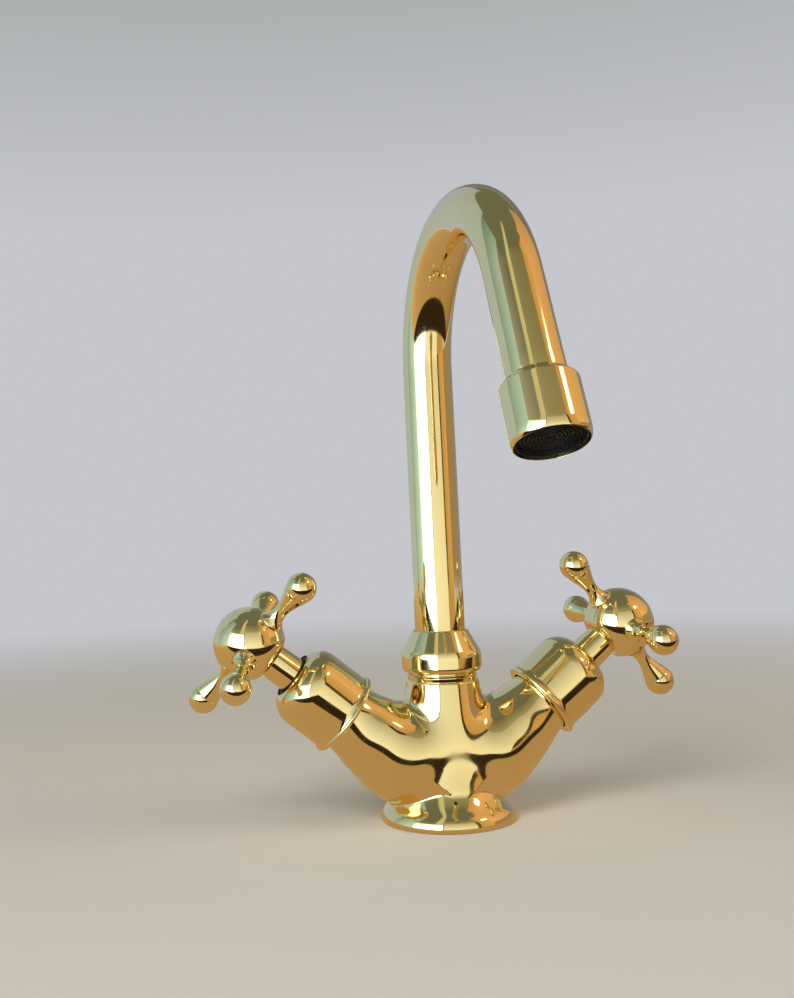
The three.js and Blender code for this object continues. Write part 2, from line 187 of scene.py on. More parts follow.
def make_piece(name, points, faces, normals, finish, body, nodes):
    """A piece in the scene. Points in metres, and one normal for each corner of each face."""
    mesh = bpy.data.meshes.new(name)
    mesh.from_pydata([tuple(p) for p in points], [], [tuple(map(int, f)) for f in faces])
    mesh.shade_smooth()
    if normals is not None:
        mesh.normals_split_custom_set([tuple(n) for n in normals])
    mesh.materials.append(MATERIALS[finish])
    piece = bpy.data.objects.new(name, mesh)
    bpy.context.scene.collection.objects.link(piece)
    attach(piece, body)
    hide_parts(*nodes)
    return piece


def turned(profile, sides=96, bend=None):
    """A solid of revolution about Z in millimetres: points, faces and corner normals.
    The profile closes on itself or starts and ends on the axis. Its sharp corners stay sharp.
    bend moves the points and turns the normals."""
    profile = np.array(profile, float)
    if np.allclose(profile[0], profile[-1]):
        profile = profile[:-1]
    following = np.roll(profile, -1, 0)
    area = np.sum(profile[:, 0] * following[:, 1] - following[:, 0] * profile[:, 1])
    if area < 0:
        profile = profile[::-1]
    count = len(profile)
    steps = np.roll(profile, -1, 0) - profile
    lengths = np.maximum(np.linalg.norm(steps, axis=1, keepdims=True), 1e-9)
    outward = np.stack([steps[:, 1], -steps[:, 0]], 1) / lengths
    mean = outward * lengths + np.roll(outward * lengths, 1, 0)
    mean /= np.maximum(np.linalg.norm(mean, axis=1, keepdims=True), 1e-9)
    angles = np.arange(sides) * 2 * math.pi / sides
    axis_points = profile[:, 0] < 1e-6
    index = np.zeros((count, sides), int)
    points = []
    for i, (radius, height) in enumerate(profile):
        ring = [(0, 0, height)] if axis_points[i] else [
            (radius * math.cos(a), radius * math.sin(a), height) for a in angles
        ]
        index[i] = len(points) + (np.arange(sides) if len(ring) > 1 else 0)
        points += ring
    faces, normals = [], []
    for i in range(count):
        j = (i + 1) % count
        if axis_points[i] and axis_points[j]:
            continue
        ends = []
        for k in (i, j):
            smooth = float(mean[k] @ outward[i]) > math.cos(math.radians(20))
            ends.append(mean[k] if smooth and not axis_points[k] else outward[i])
        for s in range(sides):
            e = (s + 1) % sides
            corners = [(i, s), (i, e), (j, e), (j, s)]
            if axis_points[i]:
                corners.pop(1)
            elif axis_points[j]:
                corners.pop(3)
            faces.append([index[k, t] for k, t in corners])
            for k, t in corners:
                n = ends[0] if k == i else ends[1]
                normals.append((n[0] * math.cos(angles[t]), n[0] * math.sin(angles[t]), n[1]))
    points, normals = np.array(points), np.array(normals)
    if bend is not None:
        flat = np.array([k for f in faces for k in f])
        normals = bend(points[flat], normals)[1]
        points = bend(points, points)[0]
    return points, faces, normals


def add_turned(name, profile, finish, body, nodes, place=None, sides=96, bend=None):
    """A turned piece, set in the frame by a matrix in millimetres."""
    points, faces, normals = turned(profile, sides, bend)
    if place is not None:
        turn = np.array(place.to_3x3())
        points = points @ turn.T + np.array(place.translation)
        normals = normals @ turn.T
    return make_piece(name, points * MM, faces, normals, finish, body, nodes)


# Materials.


# Nearly all of a noise texture's values lie between these.
NOISE_RANGE = (0.3, 0.7)


class Nodes:
    """A material's node tree, with short calls to add and join nodes."""

    def __init__(self, name):
        self.material = bpy.data.materials.new(name)
        self.material.use_nodes = True
        self.tree = self.material.node_tree
        self.shader = self.tree.nodes["Principled BSDF"]
        self.place = self.add("ShaderNodeTexCoord").outputs["Object"]

    def add(self, kind):
        return self.tree.nodes.new(kind)

    def join(self, output, target):
        self.tree.links.new(output, target)

    def noise(self, scale, detail=3, stretch=(1, 1, 1)):
        """Noise over the piece's own coordinates, in features per metre."""
        mapping = self.add("ShaderNodeMapping")
        mapping.inputs["Scale"].default_value = stretch
        self.join(self.place, mapping.inputs["Vector"])
        node = self.add("ShaderNodeTexNoise")
        node.inputs["Scale"].default_value = scale
        node.inputs["Detail"].default_value = detail
        self.join(mapping.outputs["Vector"], node.inputs["Vector"])
        return node.outputs["Fac"]

    def spread(self, value, low, high):
        """A noise's usual range as numbers from low to high."""
        node = self.add("ShaderNodeMapRange")
        node.inputs["From Min"].default_value = NOISE_RANGE[0]
        node.inputs["From Max"].default_value = NOISE_RANGE[1]
        node.inputs["To Min"].default_value = low
        node.inputs["To Max"].default_value = high
        self.join(value, node.inputs["Value"])
        return node.outputs["Result"]

    def tint(self, value, *colours):
        """A base colour that goes from one colour to another over a noise's usual range."""
        ramp = self.add("ShaderNodeValToRGB")
        for stop, colour, position in zip(ramp.color_ramp.elements, colours, NOISE_RANGE):
            stop.color = (*colour, 1)
            stop.position = position
        self.join(value, ramp.inputs["Fac"])
        self.join(ramp.outputs["Color"], self.shader.inputs["Base Color"])

    def bump(self, height, strength, distance):
        node = self.add("ShaderNodeBump")
        node.inputs["Strength"].default_value = strength
        node.inputs["Distance"].default_value = distance
        self.join(height, node.inputs["Height"])
        return node.outputs["Normal"]

    def set(self, **values):
        for key, value in values.items():
            self.shader.inputs[key.replace("_", " ")].default_value = value


def gold():
    """Polished plated brass: nearly a mirror, with faint smears and a hand-polished wave."""
    n = Nodes("gold")
    n.set(Metallic=1.0)
    n.tint(n.noise(60, 2), (0.96, 0.79, 0.38), (0.99, 0.83, 0.43))
    n.join(n.spread(n.noise(140, 5), 0.04, 0.11), n.shader.inputs["Roughness"])
    wave = n.bump(n.noise(110, 1), 0.09, 0.0002)
    n.join(wave, n.shader.inputs["Normal"])
    return n.material


def brass():
    """Bare turned brass on the hidden fittings."""
    n = Nodes("brass")
    n.set(Metallic=1.0)
    n.tint(n.noise(200, 4), (0.50, 0.36, 0.15), (0.62, 0.47, 0.22))
    n.join(n.spread(n.noise(500, 4), 0.28, 0.45), n.shader.inputs["Roughness"])
    n.join(n.bump(n.noise(1500, 2, (1, 1, 8)), 0.2, 0.0001), n.shader.inputs["Normal"])
    return n.material


def steel():
    """Stainless steel of the screws and the strainer."""
    n = Nodes("steel")
    n.set(Metallic=1.0)
    n.tint(n.noise(300, 3), (0.52, 0.53, 0.54), (0.64, 0.65, 0.66))
    n.join(n.spread(n.noise(800, 3), 0.22, 0.36), n.shader.inputs["Roughness"])
    n.join(n.bump(n.noise(2000, 2), 0.15, 0.00005), n.shader.inputs["Normal"])
    return n.material


def ceramic():
    """Lapped alumina of the sealing discs."""
    n = Nodes("ceramic")
    n.tint(n.noise(400, 3), (0.84, 0.83, 0.79), (0.90, 0.89, 0.86))
    n.join(n.spread(n.noise(700, 3), 0.18, 0.3), n.shader.inputs["Roughness"])
    n.join(n.bump(n.noise(3000, 2), 0.1, 0.00003), n.shader.inputs["Normal"])
    return n.material


def nylon():
    """Off-white nylon of the slip ring."""
    n = Nodes("nylon")
    n.tint(n.noise(300, 3), (0.74, 0.71, 0.62), (0.82, 0.79, 0.71))
    n.join(n.spread(n.noise(600, 3), 0.4, 0.55), n.shader.inputs["Roughness"])
    n.join(n.bump(n.noise(2500, 3), 0.2, 0.00005), n.shader.inputs["Normal"])
    return n.material


def rubber():
    """Black rubber of the seals, slightly chalky."""
    n = Nodes("rubber")
    n.tint(n.noise(500, 4), (0.010, 0.010, 0.011), (0.030, 0.030, 0.031))
    n.join(n.spread(n.noise(900, 4), 0.6, 0.85), n.shader.inputs["Roughness"])
    n.join(n.bump(n.noise(4000, 3), 0.3, 0.00005), n.shader.inputs["Normal"])
    return n.material


def black_plastic():
    """Moulded black plastic with a fine spark grain and a little lime in it."""
    n = Nodes("black_plastic")
    n.set(Specular_IOR_Level=0.15)
    n.tint(n.noise(700, 5), (0.005, 0.006, 0.007), (0.020, 0.023, 0.024))
    n.join(n.spread(n.noise(900, 4), 0.38, 0.55), n.shader.inputs["Roughness"])
    n.join(n.bump(n.noise(5000, 3), 0.35, 0.00005), n.shader.inputs["Normal"])
    return n.material


MATERIALS = {}
for make in (gold, brass, steel, ceramic, nylon, rubber, black_plastic):
    MATERIALS[make.__name__] = make()


def finish_cad_nodes():
    """Each CAD node takes the finish that its slot in the record names."""
    for row in frame["record"]["subparts"]:
        node = frame["nodes"][row["node"]]
        node.data.materials.clear()
        node.data.materials.append(MATERIALS[row["material_slot"]])


# The body casting: a distance field in millimetres, drawn as a fine net of faces.


def along(points, radii, heights):
    """The radius at each height of a smooth curve through a few places, and its slope."""
    curve = np.array(smooth_curve(list(zip(radii, heights)), 400))
    radius = np.interp(points, curve[:, 1], curve[:, 0])
    slope = np.interp(points, curve[:, 1], np.gradient(curve[:, 0], curve[:, 1]))
    return radius, slope


def spun(across, height, radii, heights):
    """The distance from a surface of revolution with those radii at those heights."""
    radius, slope = along(height, radii, heights)
    return (across - radius) / np.sqrt(1 + slope ** 2)


def blended(a, b, reach):
    """The union of two distance fields, with a soft fillet that reaches that far."""
    near = np.maximum(reach - np.abs(a - b), 0) / reach
    return np.minimum(a, b) - near ** 3 * reach / 6


def rounded_corner(a, b, rounding):
    """The overlap of two distance fields, with the edge between them rounded."""
    a, b = a + rounding, b + rounding
    return np.minimum(np.maximum(a, b), 0) + np.hypot(np.maximum(a, 0), np.maximum(b, 0)) - rounding


# Where the arms' shape begins, and where the column's and the arms' foot is inside the flange.
ARM_FOOT = 2
STEM_FOOT = 6

# Radii, and the heights or the places along the arm where the body has them.
COLUMN = (
    [14.56, 14.17, 14.08, 14.36, 14.81, 15.14, 15.1, 14.3, 13.3, 12.7],
    [12, 14.5, 17.5, 20.5, 23.5, 26.5, 31, 38, 46, 51],
)
ARM = (
    [14.27, 13.97, 15.8, 15.1, 13.9, 12.5, 12, 12],
    [ARM_FOOT, 12, 20, 30, 37, 43, 47, 52],
)
FLANGE = (
    [BASE_RADIUS, BASE_RADIUS - 0.1, BASE_RADIUS - 0.45, BASE_RADIUS - 1.3, 21.3, 19.4, 17.1],
    [0.5, 1.6, 2.9, 4.3, 6.0, 8.4, CREASE_HEIGHT],
)

# How far the fillets reach: between the arms, from them to the column, and to the flange. The
# column's is the one at the middle height. Well below that it is wider by the change, and well
# above that narrower by the change.
ARMS_FILLET = 10
COLUMN_FILLET = 12
FILLET_CHANGE = 3
FILLET_MIDDLE = 33
FILLET_SPAN = 8
FLANGE_FILLET = 0.6


def column_field(x, y, z):
    return rounded_corner(spun(np.hypot(x, y), z, *COLUMN), z - SHOULDER, 0.6)


def arm_field(x, y, z):
    """The cold arm. The hot one is its mirror image."""
    along_x, along_z = ARM_AXIS
    out = x * along_x + (z - ARM_ORIGIN) * along_z
    rise = -x * along_z + (z - ARM_ORIGIN) * along_x
    length = np.maximum(out - ARM_END, ARM_FOOT - out)
    return np.maximum(spun(np.hypot(rise, y), out, *ARM), length)


def flange_field(x, y, z):
    """The rounded rim and the slope from it up to the crease under the body."""
    slope = np.maximum(spun(np.hypot(x, y), z, *FLANGE), z - CREASE_HEIGHT)
    return rounded_corner(slope, -z, 0.5)


def body_field(points):
    """The distance from the casting's outside, at points in millimetres."""
    x, y, z = points[..., 0], points[..., 1], points[..., 2]
    arms = blended(arm_field(x, y, z), arm_field(-x, y, z), ARMS_FILLET)
    reach = COLUMN_FILLET - FILLET_CHANGE * np.tanh((z - FILLET_MIDDLE) / FILLET_SPAN)
    stem = np.maximum(blended(column_field(x, y, z), arms, reach), STEM_FOOT - z)
    return blended(stem, flange_field(x, y, z), FLANGE_FILLET)


def body_slope(points):
    """The outward direction of the body's surface at points."""
    small = 0.02
    slope = np.zeros_like(points)
    for axis in range(3):
        step = np.zeros(3)
        step[axis] = small
        slope[:, axis] = body_field(points + step) - body_field(points - step)
    return slope / np.maximum(np.linalg.norm(slope, axis=1, keepdims=True), 1e-12)


def surface_net(values, low, pitch):
    """Points and four-sided faces on the zero level of a grid of distances. A cell that the level
    passes through has one point, the mean of where its edges cross the level, and an edge that
    crosses it has one face, between the points of the four cells round it."""
    shape = np.array(values.shape)
    cells = shape - 1
    inside = values < 0
    total = np.zeros((*cells, 3))
    count = np.zeros(cells)
    corners = [np.array(c) for c in np.ndindex(2, 2, 2)]
    for a in corners:
        for axis in range(3):
            if a[axis]:
                continue
            b = a.copy()
            b[axis] = 1
            first, second = (values[tuple(slice(o, o + n) for o, n in zip(c, cells))] for c in (a, b))
            cut = (first < 0) != (second < 0)
            share = np.where(cut, first / np.where(cut, first - second, 1), 0)
            for k in range(3):
                total[..., k] += np.where(cut, a[k] + (b[k] - a[k]) * share, 0)
            count += cut
    used = count > 0
    number = np.full(cells, -1)
    number[used] = np.arange(used.sum())
    places = np.argwhere(used) + total[used] / count[used][:, None]
    faces = []
    for axis in range(3):
        u, v = (axis + 1) % 3, (axis + 2) % 3
        first = np.moveaxis(inside, axis, 0)[:-1]
        second = np.moveaxis(inside, axis, 0)[1:]
        crossing = np.moveaxis(first != second, 0, axis)
        leaving = np.moveaxis(first & ~second, 0, axis)
        spots = np.argwhere(crossing)
        spots = spots[(spots[:, u] > 0) & (spots[:, v] > 0)]
        spots = spots[(spots[:, u] < shape[u] - 1) & (spots[:, v] < shape[v] - 1)]
        turn = leaving[tuple(spots.T)]
        loop = []
        for du, dv in ((1, 1), (0, 1), (0, 0), (1, 0)):
            cell = spots.copy()
            cell[:, u] -= du
            cell[:, v] -= dv
            loop.append(number[tuple(cell.T)])
        loop = np.stack(loop, 1)
        loop[~turn] = loop[~turn][:, ::-1]
        faces.append(loop)
    return places * pitch + np.array(low), np.concatenate(faces)


def body_skin():
    """The body's outside as a closed net in millimetres."""
    pitch = 0.55
    low = np.array([-48.0, -26.5, -1.5])
    high = np.array([48.0, 26.5, 52.5])
    axes = [np.arange(a, b, pitch) for a, b in zip(low, high)]
    grid = np.stack(np.meshgrid(*axes, indexing="ij"), -1)
    points, faces = surface_net(body_field(grid), low, pitch)
    # Each round draws the points closer to the true surface.
    for _ in range(4):
        points -= body_field(points)[:, None] * body_slope(points)
    return points, faces


def tool(name, profile, place=None, sides=64):
    """A hidden solid that cuts or joins the body, in metres."""
    points, faces, _ = turned(profile, sides)
    if place is not None:
        points = points @ np.array(place.to_3x3()).T + np.array(place.translation)
    mesh = bpy.data.meshes.new(name)
    mesh.from_pydata([tuple(p) for p in points * MM], [], [tuple(map(int, f)) for f in faces])
    made = bpy.data.objects.new(name, mesh)
    bpy.context.scene.collection.objects.link(made)
    return made


def rod(radius, low, high):
    return [[0, low], [radius, low], [radius, high], [0, high]]


def body_tools():
    """What is joined to the casting, and what is bored out of it."""
    ring = eased([[0, 44], [11.7, 44], [12.5, COLUMN_TOP], [0, COLUMN_TOP]], 0.3)
    joins = [
        tool("spigot", eased(rod(11.2, 44, SPIGOT_TOP), 0.4)),
        tool("neck_ring", ring, sides=128),
    ]
    across = Matrix.Rotation(math.pi / 2, 4, "Y")
    across.translation = (0, 0, 37.5)
    groove = [[12, 49.8], [14, 49.8], [14, 50.1], [12, 50.1], [12, 49.8]]
    seal = [[20.3, -1], [22.9, -1], [22.9, 2.3], [20.3, 2.3], [20.3, -1]]
    cuts = [
        tool("outlet", rod(6.5, 33.5, 44)),
        tool("socket", rod(8.6, 43, SPIGOT_TOP + 1)),
        tool("passage", rod(2.8, -20, 20), across),
        tool("stud_hole", rod(3.4, -1, 14), Matrix.Translation((0, 12, 0))),
        tool("seal_groove", seal, sides=128),
        tool("collar_groove", groove, sides=128),
    ]
    for side, (sign, _) in SIDES.items():
        inlet = Matrix.Translation((sign * 9.5, 0, 0))
        cuts.append(tool(f"{side}_inlet", rod(4.4, -1, 17), inlet))
        cuts.append(tool(f"{side}_chamber", rod(9.3, 29, ARM_END + 1), arm_place(side)))
        cuts.append(tool(f"{side}_feed", rod(4, 10, 30), arm_place(side)))
    return joins, cuts


def add_body_casting():
    points, faces = body_skin()
    piece = make_piece("body", points * MM, faces, None, "gold", "mixer_body", ["body_casting"])
    joins, cuts = body_tools()
    carve(piece, joins, cuts, body_field, body_slope)


def carve(piece, joins, cuts, distance, slope):
    """Joins and cuts solids. Corners on the outside take their normals from its slope."""
    for mode, tools in (("UNION", joins), ("DIFFERENCE", cuts)):
        for other in tools:
            change = piece.modifiers.new(other.name, "BOOLEAN")
            change.operation = mode
            change.solver = "MANIFOLD"
            change.object = other
    made = piece.evaluated_get(bpy.context.evaluated_depsgraph_get())
    mesh = bpy.data.meshes.new_from_object(made)
    piece.modifiers.clear()
    piece.data = mesh
    for other in joins + cuts:
        bpy.data.objects.remove(other)
    mesh.materials.clear()
    mesh.materials.append(MATERIALS["gold"])
    mesh.shade_smooth()
    mesh.set_sharp_from_angle(angle=math.radians(30))
    mesh.normals_split_custom_set(outside_normals(mesh, distance, slope))


def read(rows, name, width=1, kind=float):
    values = np.zeros(len(rows) * width, kind)
    rows.foreach_get(name, values)
    return values.reshape(-1, width) if width > 1 else values


def outside_normals(mesh, distance, slope):
    """One normal for each face corner: the outside's own where it lies on it, else as it is."""
    points = read(mesh.vertices, "co", 3) / MM
    smooth = slope(points)
    on_skin = np.abs(distance(points)) < 0.03
    vertex = read(mesh.loops, "vertex_index", kind=int)
    face = read(mesh.polygons, "normal", 3)
    face = np.repeat(face, read(mesh.polygons, "loop_total", kind=int), axis=0)
    corner = read(mesh.corner_normals, "vector", 3)
    fits = on_skin[vertex] & (np.sum(smooth[vertex] * face, 1) > 0.85)
    return [tuple(n) for n in np.where(fits[:, None], smooth[vertex], corner)]


# The other pieces.


def arm_place(side, turn=0.0):
    """An arm's own frame in millimetres: Z out along the arm, and X to the front or turned from it."""
    sign = SIDES[side][0]
    axis = Vector((sign * ARM_AXIS[0], 0, ARM_AXIS[1]))
    front = Vector((0, -1, 0))
    matrix = Matrix((front, axis.cross(front), axis)).transposed().to_4x4()
    matrix.translation = (0, 0, ARM_ORIGIN)
    return matrix @ Matrix.Rotation(turn, 4, "Z")


def add_union_nut():
    """A rolled bulb at the foot, a long curve up from it, and a small lip round the tube."""
    outside = [*arc(12.4, 53.4, 2, -90, 0, 12), *arc(8.9, 56.8, 5.5, 0, 30, 12)]
    top = [[10.2, 65.7], [9.9, 66.1], [9.5, 66.0], [9.4, 65.6]]
    shoulder = TUBE_FOOT + 1.6
    inside = [
        [9.4, shoulder],
        [COLLAR_RADIUS + CLEARANCE, shoulder],
        [COLLAR_RADIUS + CLEARANCE, SPIGOT_TOP + CLEARANCE],
        [11.5, SPIGOT_TOP + CLEARANCE],
        [11.5, 51.4],
    ]
    profile = eased([*outside, *top, *inside], 0.3)
    add_turned("union_nut_piece", [*profile, profile[0]], "gold", "mixer_body", ["union_nut"], sides=128)


def spout_bend(points, vectors):
    """Points along Z moved onto the spout's centreline, and vectors turned with them."""
    length = points[:, 2]
    past = np.maximum(length - BEND_START, 0)
    angle = np.minimum(past / BEND_RADIUS, BEND_ANGLE)
    drop = np.maximum(past - BEND_RADIUS * BEND_ANGLE, 0)
    out = BEND_RADIUS * (1 - np.cos(angle)) + drop * np.sin(angle)
    high = np.minimum(length, BEND_START) + BEND_RADIUS * np.sin(angle) + drop * np.cos(angle)
    x, y = points[:, 0], points[:, 1]
    bent = np.stack([x, y * np.cos(angle) - out, y * np.sin(angle) + high], 1)
    x, y, z = vectors.T
    swung_y = y * np.cos(angle) - z * np.sin(angle)
    swung_z = y * np.sin(angle) + z * np.cos(angle)
    return bent, np.stack([x, swung_y, swung_z], 1)


def add_spout_tube():
    end = BEND_START + BEND_RADIUS * BEND_ANGLE
    stations = [
        *np.linspace(TUBE_FOOT, BEND_START, 8),
        *np.linspace(BEND_START, end, 97)[1:],
        *np.linspace(end, end + TUBE_DROP + AERATOR_SOCKET - CLEARANCE, 5)[1:],
    ]
    wall = [[TUBE_RADIUS, s] for s in stations]
    bore = [[TUBE_BORE, s] for s in reversed(stations)]
    add_turned("spout_pipe", [*wall, *bore, wall[0]], "gold", "spout", ["spout_tube"], bend=spout_bend)


def aerator_place():
    end = np.array([[0.0, 0.0, BEND_START + BEND_RADIUS * BEND_ANGLE + TUBE_DROP]])
    point = spout_bend(end, end)[0][0]
    matrix = Matrix.Rotation(BEND_ANGLE, 4, "X")
    matrix.translation = tuple(point)
    return matrix


def add_aerator():
    place = aerator_place()
    lip = [[AERATOR_RADIUS - 0.9 + 0.9 * math.cos(a), AERATOR_LENGTH - 3.4 + 3.4 * math.sin(a)]
           for a in np.radians(np.linspace(0, 90, 13))]
    housing = [
        [TUBE_RADIUS + CLEARANCE, 0.2],
        [9.45, 0],
        [9.75, 0.1],
        [11.55, 2.0],
        [11.74, 2.3],
        [AERATOR_RADIUS, 2.7],
        *lip,
        [10.9, AERATOR_LENGTH - 0.5],
        [10.9, AERATOR_SOCKET + 1],
        [8.2, AERATOR_SOCKET + 1],
        [8.2, AERATOR_SOCKET],
        [TUBE_RADIUS + CLEARANCE, AERATOR_SOCKET],
        [TUBE_RADIUS + CLEARANCE, 0.2],
    ]
    add_turned("aerator_shell", housing, "gold", "spout", ["aerator_housing"], place, 128)
    add_aerator_face(place)


def add_aerator_face(place):
    """The black outlet: a raised edge round a sunk grille of fine concentric ribs."""
    floor, face = 18.1, 18.6
    profile = [[0, 13.3], [10.7, 13.3], [10.7, 19.8], [9.9, 19.8], [9.6, floor]]
    for radius in np.arange(8.6, 0.9, -1.1):
        profile += [[radius + 0.35, floor], [radius + 0.25, face]]
        profile += [[radius - 0.25, face], [radius - 0.35, floor]]
    profile = eased([*profile, [0, floor]], 0.15, 3)
    add_turned("aerator_face", profile, "black_plastic", "spout", ["aerator_nozzle"], place, 96)


def add_bonnet_cover(side):
    centre = COVER_RADIUS - COVER_SHOULDER
    base = COVER_TOP - COVER_SHOULDER
    inside = COVER_SHOULDER - COVER_WALL
    outer_end = math.degrees(math.acos((COVER_HOLE - centre) / COVER_SHOULDER))
    inner_end = math.degrees(math.acos((COVER_HOLE - centre) / inside))
    flare = [[14.6, COVER_LIP + 1.75], [14.36, COVER_LIP + 2.5], [COVER_RADIUS, COVER_LIP + 4]]
    lip = [
        [COVER_MOUTH, COVER_LIP + 0.15],
        [COVER_MOUTH + 0.15, COVER_LIP],
        [14.2, COVER_LIP],
        *arc(14.4, COVER_LIP + 0.85, 0.85, -80, 65, 9),
        *smooth_curve(flare, 5),
    ]
    profile = [
        *lip,
        *arc(centre, base, COVER_SHOULDER, 0, outer_end, 18),
        *arc(centre, base, inside, inner_end, 0, 9),
        [COVER_RADIUS - COVER_WALL, COVER_LIP + 2.4],
        [COVER_MOUTH, COVER_LIP + 1.6],
        lip[0],
    ]
    name = f"{side}_bonnet_cover"
    add_turned(f"{side}_bell", profile, "gold", "mixer_body", [name], arm_place(side), 128)
    inner, outer = NECK_FOOT_RADIUS + CLEARANCE, COVER_HOLE - CLEARANCE
    ring = eased([[inner, 68], [outer, 68], [outer, 70.4], [inner, 70.4]], 0.3, 3)
    name = f"{side}_guide_ring"
    add_turned(f"{side}_gland", [*ring, ring[0]], "black_plastic", "mixer_body", [name], arm_place(side))


def add_handle(side):
    place = arm_place(side, SIDES[side][1])
    body = f"{side}_handle"
    add_hub(side, place, body)
    neck = [
        [SPINDLE_BORE, NECK_FOOT],
        [NECK_FOOT_RADIUS - 0.3, NECK_FOOT],
        [NECK_FOOT_RADIUS, NECK_FOOT + 0.3],
        [NECK_TOP_RADIUS, HUB_BACK],
        [NECK_TOP_RADIUS, NECK_TOP],
        [SPINDLE_BORE, NECK_TOP],
        [SPINDLE_BORE, NECK_FOOT],
    ]
    add_turned(f"{side}_neck", neck, "gold", body, [f"{side}_handle_neck"], place)
    low = CAP_SEAT + CLEARANCE
    edge = math.degrees(math.acos(CAP_RADIUS / HUB_RADIUS))
    cap = [[0, low], [CAP_RADIUS, low], *arc(0, HUB_CENTRE, HUB_RADIUS, edge, 90, 14)]
    add_turned(f"{side}_cap", cap, "gold", body, [f"{side}_hub_cap"], place)
    for i in range(SPOKE_COUNT):
        node = f"{side}_spoke_{i + 1}"
        add_turned(f"{side}_arm_{i + 1}", spoke(), "gold", body, [node], spoke_place(place, i), 96)


def spoke_place(place, i):
    """A spoke's own frame: Z out along the spoke."""
    turn = Matrix.Rotation(i * 2 * math.pi / SPOKE_COUNT, 4, "Z")
    return place @ turn @ Matrix.Translation((0, 0, SPOKE_PLANE)) @ Matrix.Rotation(math.pi / 2, 4, "Y")


def add_hub(side, place, body):
    """A ball with a flat and a socket for each spoke, bored for the neck, spindle, screw and cap."""
    back = math.degrees(math.asin((HUB_BACK - HUB_CENTRE) / HUB_RADIUS))
    rim = HUB_RADIUS * math.cos(math.radians(back))
    cap_hole = CAP_RADIUS + 0.15
    cap_edge = math.degrees(math.acos(cap_hole / HUB_RADIUS))
    neck_hole = NECK_TOP_RADIUS + CLEARANCE
    spindle_end = SPINDLE_TOP + CLEARANCE
    profile = [
        [neck_hole, HUB_BACK + 0.3],
        [rim - 1, HUB_BACK + 0.3],
        *arc(rim - 0.75, HUB_BACK + 0.75, 0.75, 240, 330, 8),
        *arc(0, HUB_CENTRE, HUB_RADIUS, back + 5, cap_edge, 44),
        [cap_hole, CAP_SEAT],
        [SCREW_RECESS, CAP_SEAT],
        [SCREW_RECESS, SCREW_SEAT],
        [SCREW_HOLE, SCREW_SEAT],
        [SCREW_HOLE, spindle_end],
        [SPINDLE_BORE, spindle_end],
        [SPINDLE_BORE, NECK_TOP + CLEARANCE],
        [neck_hole, NECK_TOP + CLEARANCE],
        [neck_hole, HUB_BACK + 0.3],
    ]
    hub = add_turned(f"{side}_hub", profile, "gold", body, [f"{side}_handle_hub"], place, 128)
    centre = np.array(place @ Vector((0, 0, HUB_CENTRE)))
    cuts = []
    for i in range(SPOKE_COUNT):
        lay = spoke_place(place, i)
        cuts.append(tool(f"flat_{i}", rod(4.8, SPOKE_SEAT, 14), lay))
        cuts.append(tool(f"socket_{i}", rod(2.1, 8.2, 14), lay, 32))

    def distance(points):
        return np.linalg.norm(points - centre, axis=1) - HUB_RADIUS

    def slope(points):
        away = points - centre
        return away / np.linalg.norm(away, axis=1, keepdims=True)

    carve(hub, [], cuts, distance, slope)


def spoke():
    """From the peg in the hub's socket to the ball's tip, along Z."""
    peg_radius, peg_end = 1.8, 8.6
    foot = SPOKE_SEAT + CLEARANCE
    shank = smooth_curve([
        [4.3, foot + 0.35], [3.5, foot + 1.3], [2.65, 15.2], [2.35, 17.3],
        [2.6, 19.8], [3.4, 22.6], [4.55, 25.9],
    ], 72)
    ball = arc(0, SPOKE_REACH, BALL_RADIUS, -33, 90, 36)
    peg = [[0, peg_end], [peg_radius, peg_end], [peg_radius, foot]]
    return [*peg, [4.2, foot], [4.35, foot + 0.15], *shank, *ball]


# The studio.


# Seen in the gold, a warm glow sheet paints the lit table's reflection as far as its front edge, and a dark one
# paints the shade beyond that edge as far as DARK_END.
TABLE_EDGE = -0.092
DARK_END = -0.294
# The glow of the strip in front of the table: painted shade, a dark sheet seen in the gold where the room beyond
# the table lies in shade.
FRONT_SHADE = (0.030, 0.018, 0.009)

# The direction from the mixer to the camera. The studio's azimuths are degrees from it, and grow to
# the picture's right.
CAMERA_AZIMUTH = math.atan2(CAMERA_PLACE.y, CAMERA_PLACE.x)

# The glow of what shines in front, at its left end and at its right one.
WINDOW = ((1.5, 2.5, 2.7), (4.5, 5.0, 6.0))
CURTAIN = ((0.97, 0.99, 0.93), (0.93, 0.89, 0.72))


def sweep(azimuths, share):
    """The frame's own angles, in radians, at shares of the way from one azimuth to another."""
    return np.radians(azimuths[0] + share * (azimuths[1] - azimuths[0])) + CAMERA_AZIMUTH


def panel(name, azimuths, elevations, left, right, top=1.0, distance=1.6):
    """A curved studio panel. Its glow goes from the left colour to the right one, and falls to a
    share of itself at the top. Elevations are above the floor, in degrees."""
    across, up = np.meshgrid(np.linspace(0, 1, 25), np.linspace(0, 1, 13))
    turn = sweep(azimuths, across)
    rise = np.radians(elevations[0] + up * (elevations[1] - elevations[0]))
    way = np.stack([np.cos(turn) * np.cos(rise), np.sin(turn) * np.cos(rise), np.sin(rise)], -1)
    points = way.reshape(-1, 3) * distance + (0, 0, 0.05)
    rows, columns = across.shape
    faces = []
    for i in range(rows - 1):
        for k in range(i * columns, i * columns + columns - 1):
            faces.append((k, k + 1, k + 1 + columns, k + columns))
    share = across[..., None]
    glow = (np.array(left) * (1 - share) + np.array(right) * share) * (1 + (top - 1) * up[..., None])
    add_glow(name, points, faces, glow.reshape(-1, 3))


